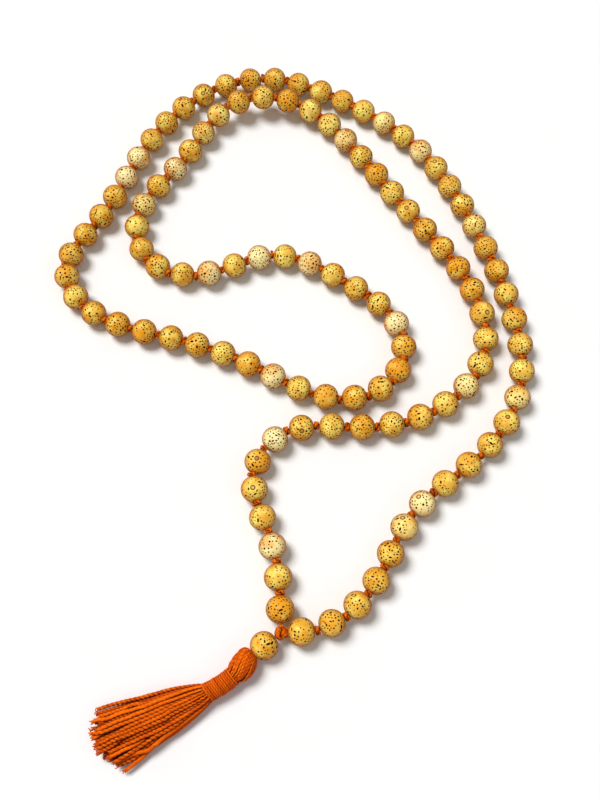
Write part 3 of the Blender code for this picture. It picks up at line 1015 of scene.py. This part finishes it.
def skirt_yarn(random, bundle, path, radius, aside, open_sides):
    """One cut yarn, softly or sharply twisted, its end opened, with painted shade on the sides others cover."""
    brightness = random.uniform(0.1, 1.0)
    phase = random.uniform(0, 6.28)
    turn_length = random.uniform(1.9, 3.0)
    groove, strength = random.choice(((0.1, 0.3), (0.18, 0.55), (0.28, 0.8)))
    # Painted shade: the loose plies take the yarn's lightness times how open its end lies to light from above.
    for tail in split_plies(random, path, float(radius[-1]), turn_length, phase):
        bundle.add(tail, brightness * open_sides[0][-1])
    points, faces, painted_shading = twisted_tube(
        path, radius, 2, turn_length, YARN_SIDES, groove, phase, strength=strength,
    )
    # Painted shade: darker on the top or underside where other yarns cover it, and on flanks pressed against
    # neighbours.
    away = (points - np.repeat(path, YARN_SIDES, axis=0)) / np.repeat(radius, YARN_SIDES)[:, None]
    above, below, right, left = [np.repeat(share, YARN_SIDES) for share in open_sides]
    level = np.where(away[:, 2] > 0.0, above, below)
    flank = np.where(away @ aside > 0.0, right, left)
    upright = smooth_step(0.05, 0.85, np.abs(away[:, 2]))
    covered = 0.06 + 0.94 * smooth_step(0.4, 0.9, flank)
    painted_shading = painted_shading * (upright * (0.35 + 0.65 * level) + (1.0 - upright) * covered)
    # The shade value holds painted shade too: the yarn's own lightness times how open that side lies to light.
    bundle.add((points, faces, painted_shading), brightness * level)


def skirt_extent():
    """Level heading, length and half width of the skirt, read from its CAD node."""
    reach = (node_points("tassel_skirt") - MOUTH) * (1.0, 1.0, 0.0)
    far = reach[np.linalg.norm(reach, axis=1) > 0.85 * np.linalg.norm(reach, axis=1).max()]
    heading = unit(far.mean(axis=0))
    length = float((far @ heading).max()) + 0.6
    half_width = float(np.ptp(reach @ unit(np.cross(heading, UP)))) / 2.0 + 0.3
    return heading, length, half_width


def build_skirt():
    """Loose two-ply yarns leaving the collar, fanning out flat on the floor and cut unevenly."""
    random = np.random.default_rng(SKIRT_DRAWS)
    heading, length, half_width = skirt_extent()
    side = unit(np.cross(heading, UP))
    sections = skirt_sections(random, heading, length, half_width)
    last_places = sections[-1][1]
    bundles = [Bundle() for _ in range(SKIRT_PIECES)]
    for k in range(SKIRT_YARNS):
        path = []
        for centre, places, _, _ in sections:
            path.append((centre + side * places[k, 0]) * (1.0, 1.0, 0.0) + UP * places[k, 1])
        path = rounded_path(path, 0.15)
        travelled = path_lengths(path)
        marks = np.linspace(0.0, travelled[-1], len(sections))
        lateral = last_places[k, 0]
        cut = length * 1.09 - CUT_ROUNDNESS * max(lateral, 0.0) ** 2 - CUT_SLANT * max(-lateral, 0.0)
        kept = travelled < cut + random.uniform(*CUT_RAGGEDNESS)
        radius = np.interp(travelled[kept], marks, [section[2] for section in sections])
        exposures = np.array([section[3][:, k] for section in sections])
        open_sides = [np.interp(travelled[kept], marks, exposures[:, way]) for way in range(4)]
        skirt_yarn(random, bundles[k % SKIRT_PIECES], path[kept], radius, side, open_sides)
    for k, bundle in enumerate(bundles):
        item = bundle.item(f"tassel_skirt_yarns_{k + 1}", YARN_FIBRE)
        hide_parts("tassel_skirt")
        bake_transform(item)


# ---------------------------------------------------------------- floor, light and camera

def build_floor():
    """Plain pale floor just under the beads."""
    data = bpy.data.meshes.new("floor")
    half = FLOOR_HALF_SIDE
    height = FLOOR_HEIGHT * METRES_PER_MM
    corners = [(-half, -half, height), (half, -half, height), (half, half, height), (-half, half, height)]
    data.from_pydata(corners, [], [(0, 1, 2, 3)])
    n = Nodes("floor")
    tone = n.spread(n.noise(40.0, 3.0), 0.3, 0.7, 0.0, 1.0)
    n.link(n.mix(tone, rgb(0.79, 0.79, 0.785), rgb(0.81, 0.81, 0.805)), n.shader.inputs["Base Color"])
    n.shader.inputs["Roughness"].default_value = 0.9
    data.materials.append(n.material)
    floor = bpy.data.objects.new("floor", data)
    bpy.context.scene.collection.objects.link(floor)


def build_light():
    """Bright backdrop that lights only softly, a key sun from the upper left and a weak fill."""
    world = bpy.data.worlds.new("studio")
    bpy.context.scene.world = world
    world.use_nodes = True
    tree = world.node_tree
    background = tree.nodes["Background"]
    background.inputs["Color"].default_value = rgb(1.0, 1.0, 1.0)
    seen = tree.nodes.new("ShaderNodeLightPath").outputs["Is Camera Ray"]
    strength = tree.nodes.new("ShaderNodeMapRange")
    strength.inputs["To Min"].default_value = SKY_LIGHT
    strength.inputs["To Max"].default_value = SKY_SEEN
    tree.links.new(seen, strength.inputs["Value"])
    tree.links.new(strength.outputs["Result"], background.inputs["Strength"])
    bpy.context.scene.view_settings.view_transform = "Standard"
    for name, place, angle, power in (
        ("key", (-0.34, 0.2, 0.72), 26.0, 3.2),
        ("fill", (0.5, -0.4, 0.6), 50.0, 0.25),
    ):
        light = bpy.data.lights.new(name, "SUN")
        light.angle = math.radians(angle)
        light.energy = power
        lamp = bpy.data.objects.new(name, light)
        lamp.location = place
        lamp.rotation_euler = (-lamp.location).to_track_quat("-Z", "Y").to_euler()
        bpy.context.scene.collection.objects.link(lamp)


def build_camera():
    """Camera above the tassel's side, looking down at the photograph's angle."""
    camera = bpy.data.cameras.new("camera")
    camera.sensor_width = CAMERA_SENSOR
    camera.lens = CAMERA_LENS
    camera.clip_start = 0.01
    camera.clip_end = 10.0
    holder = bpy.data.objects.new("camera", camera)
    holder.location = CAMERA_PLACE
    holder.rotation_euler = (math.radians(CAMERA_TILT), 0.0, 0.0)
    bpy.context.scene.collection.objects.link(holder)
    bpy.context.scene.camera = holder


build_beads()
build_cords()
build_guru_knot()
build_guru_cord()
build_hanging_knot()
build_tassel_core()
build_tassel_head()
build_collar()
build_skirt()
build_floor()
build_light()
build_camera()
